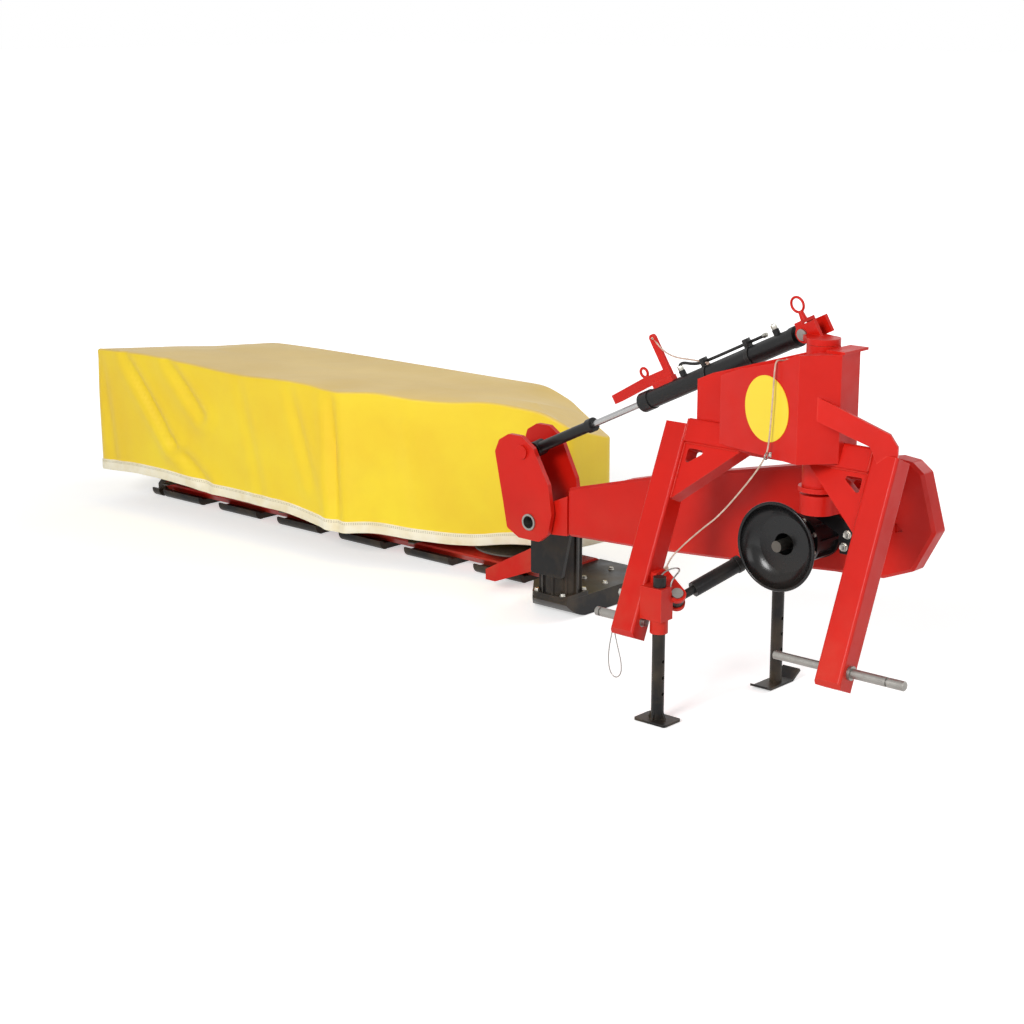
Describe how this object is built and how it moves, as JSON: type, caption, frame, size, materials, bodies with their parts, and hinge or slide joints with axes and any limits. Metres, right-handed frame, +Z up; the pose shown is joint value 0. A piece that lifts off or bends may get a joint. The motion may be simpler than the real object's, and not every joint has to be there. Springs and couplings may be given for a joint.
{
  "type": "disc mower",
  "caption": "Rear hitch-mounted disc mower with a side cutterbar under a cloth canopy, a folding arm, a lift cylinder and parking stands.",
  "frame": {"origin": "middle of the two lower hitch pins, on their common axis", "axes": "+X along the cutterbar towards the hitch, +Y rearward away from the tractor, +Z up"},
  "size_m": [4.4615, 1.3984, 1.3084],
  "materials": {
    "red_paint": "gloss",
    "bright_steel": "satin",
    "black_paint": "satin",
    "black_plastic": "matte",
    "worn_steel": "worn",
    "yellow_cloth": "coated",
    "yellow_label": "gloss"
  },
  "bodies": {
    "headstock": {"leg_left": "red_paint", "leg_right": "red_paint", "cross_beam": "red_paint", "corner_brace_left": "red_paint", "corner_brace_right": "red_paint", "pivot_tube": "red_paint", "mast_box": "red_paint", "label_plate": "yellow_label", "upper_brace_left": "red_paint", "upper_brace_right": "red_paint", "lower_pin_left": "bright_steel", "lower_pin_right": "bright_steel", "stand_bracket": "red_paint", "strut_pin_fixed": "bright_steel"},
    "swing_frame": {"king_post": "red_paint", "anchor_pin": "bright_steel", "swing_crank": "red_paint", "belt_guard": "red_paint", "arm_beam": "red_paint", "hinge_tube": "red_paint", "input_housing": "black_paint", "shield_bowl": "black_plastic", "strut_lug": "red_paint", "shield_bracket": "black_paint"},
    "input_shaft": {"input_shaft": "bright_steel"},
    "front_stand": {"front_stand": "black_paint"},
    "rear_stand": {"rear_stand": "black_paint"},
    "lift_barrel": {"lift_barrel": "black_paint", "transport_lock": "black_paint"},
    "lift_rod": {"lift_rod": "bright_steel", "lift_rod_end": "black_paint"},
    "strut_sleeve": {"strut_sleeve": "black_paint"},
    "strut_rod": {"strut_rod": "black_paint"},
    "cutterbar": {"knuckle_arm": "red_paint", "fold_shaft": "bright_steel", "bevel_gearbox": "black_paint", "inner_shoe": "black_paint", "cutterbar": "black_paint", "canopy_cloth": "yellow_cloth", "canopy_frame": "black_paint", "skid_1": "black_paint", "skid_2": "black_paint", "skid_3": "black_paint", "skid_4": "black_paint", "skid_5": "black_paint", "skid_6": "black_paint", "bar_brace": "red_paint", "outer_shoe": "black_paint"},
    "disc_1": {"disc_1": "worn_steel"},
    "disc_2": {"disc_2": "worn_steel"},
    "disc_3": {"disc_3": "worn_steel"},
    "disc_4": {"disc_4": "worn_steel"},
    "disc_5": {"disc_5": "worn_steel"},
    "disc_6": {"disc_6": "worn_steel"}
  },
  "joints": [
    {"name": "breakaway_swing", "type": "hinge", "parent": "headstock", "child": "swing_frame", "pos_m": [0.125, 0.25, 0.6], "axis": [0, 0, 1], "range_deg": [-25, 0]},
    {"name": "cutterbar_fold", "type": "hinge", "parent": "swing_frame", "child": "cutterbar", "pos_m": [-1.166, 0.52, 0.09], "axis": [0, 1, 0], "range_deg": [-10, 60]},
    {"name": "front_stand_slide", "type": "slide", "parent": "headstock", "child": "front_stand", "axis": [0, 0, 1], "range_m": [0, 0.2]},
    {"name": "rear_stand_slide", "type": "slide", "parent": "swing_frame", "child": "rear_stand", "axis": [0, 0, 1], "range_m": [0, 0.2]},
    {"name": "lift_barrel_swivel", "type": "hinge", "parent": "swing_frame", "child": "lift_barrel", "pos_m": [0.035, 0.31, 0.895], "axis": [0.0793, 0.9783, 0.1915], "range_deg": [-8.15, 1.78]},
    {"name": "lift_rod_stroke", "type": "slide", "parent": "lift_barrel", "child": "lift_rod", "axis": [-0.8992, 0.1531, -0.4099], "range_m": [-0.17277, 0.03046]},
    {"name": "strut_swivel", "type": "hinge", "parent": "headstock", "child": "strut_sleeve", "pos_m": [-0.255, 0.075, 0.07], "axis": [-0.4273, 0.4885, -0.7608], "range_deg": [-0.3, 7.96]},
    {"name": "strut_stroke", "type": "slide", "parent": "strut_sleeve", "child": "strut_rod", "axis": [0.351, 0.8651, 0.3584], "range_m": [-0.002, 0.11656]},
    {"name": "input_shaft_spin", "type": "hinge", "parent": "swing_frame", "child": "input_shaft", "pos_m": [0, 0.3, 0.25], "axis": [0, 1, 0], "continuous": true},
    {"name": "disc_1_spin", "type": "hinge", "parent": "cutterbar", "child": "disc_1", "pos_m": [-1.712, 1.02, -0.2], "axis": [0, 0, 1], "continuous": true},
    {"name": "disc_2_spin", "type": "hinge", "parent": "cutterbar", "child": "disc_2", "pos_m": [-2.087, 1.02, -0.2], "axis": [0, 0, 1], "continuous": true},
    {"name": "disc_3_spin", "type": "hinge", "parent": "cutterbar", "child": "disc_3", "pos_m": [-2.462, 1.02, -0.2], "axis": [0, 0, 1], "continuous": true},
    {"name": "disc_4_spin", "type": "hinge", "parent": "cutterbar", "child": "disc_4", "pos_m": [-2.837, 1.02, -0.2], "axis": [0, 0, 1], "continuous": true},
    {"name": "disc_5_spin", "type": "hinge", "parent": "cutterbar", "child": "disc_5", "pos_m": [-3.212, 1.02, -0.2], "axis": [0, 0, 1], "continuous": true},
    {"name": "disc_6_spin", "type": "hinge", "parent": "cutterbar", "child": "disc_6", "pos_m": [-3.587, 1.02, -0.2], "axis": [0, 0, 1], "continuous": true}
  ],
  "couplings": [
    {"joint": "lift_barrel_swivel", "follows": "cutterbar_fold", "ratio": -0.12752},
    {"joint": "lift_rod_stroke", "follows": "cutterbar_fold", "m_per_rad": -0.16307},
    {"joint": "strut_swivel", "follows": "breakaway_swing", "ratio": -0.30654},
    {"joint": "strut_stroke", "follows": "breakaway_swing", "m_per_rad": -0.26255},
    {"joint": "disc_2_spin", "follows": "disc_1_spin", "ratio": -1},
    {"joint": "disc_3_spin", "follows": "disc_1_spin", "ratio": 1},
    {"joint": "disc_4_spin", "follows": "disc_1_spin", "ratio": -1},
    {"joint": "disc_5_spin", "follows": "disc_1_spin", "ratio": 1},
    {"joint": "disc_6_spin", "follows": "disc_1_spin", "ratio": -1},
    {"joint": "input_shaft_spin", "follows": "disc_1_spin", "ratio": 0.18}
  ]
}
